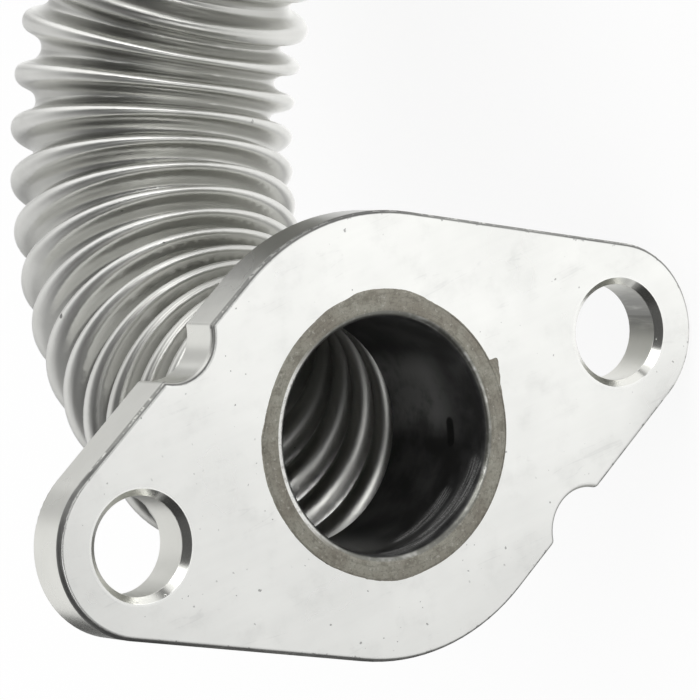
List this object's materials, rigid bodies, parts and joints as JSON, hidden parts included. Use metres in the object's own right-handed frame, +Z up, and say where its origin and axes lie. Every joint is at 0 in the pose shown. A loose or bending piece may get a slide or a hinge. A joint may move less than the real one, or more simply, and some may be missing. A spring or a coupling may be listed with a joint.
{
  "type": "exhaust gas recirculation pipe",
  "caption": "Bent flexible bellows pipe with an oval two-bolt flange brazed to a short thick sleeve at each end; carries exhaust gas to an engine's intake.",
  "frame": {"origin": "centre of the inlet bore on the inlet flange's mating face", "axes": "-Y out of the inlet's mating face, the pipe leaves along +Y and bends towards +X, +Z up as the pipe rests on a bench"},
  "size_m": [0.0995, 0.0762, 0.0744],
  "materials": {
    "plate": "ground and tumbled, fine random scratches",
    "sleeve": "turned, dulled by brazing heat",
    "braze": "dull brazing metal",
    "weld": "weld bead, light heat tint",
    "bellows": "satin formed stainless sheet"
  },
  "bodies": {
    "root": {"inlet_flange": "plate", "outlet_flange": "plate", "inlet_sleeve": "sleeve", "outlet_sleeve": "sleeve", "inlet_braze_ring": "braze", "outlet_braze_ring": "braze", "inlet_cuff_weld": "weld", "outlet_cuff_weld": "weld", "bellows": "bellows"}
  },
  "joints": []
}
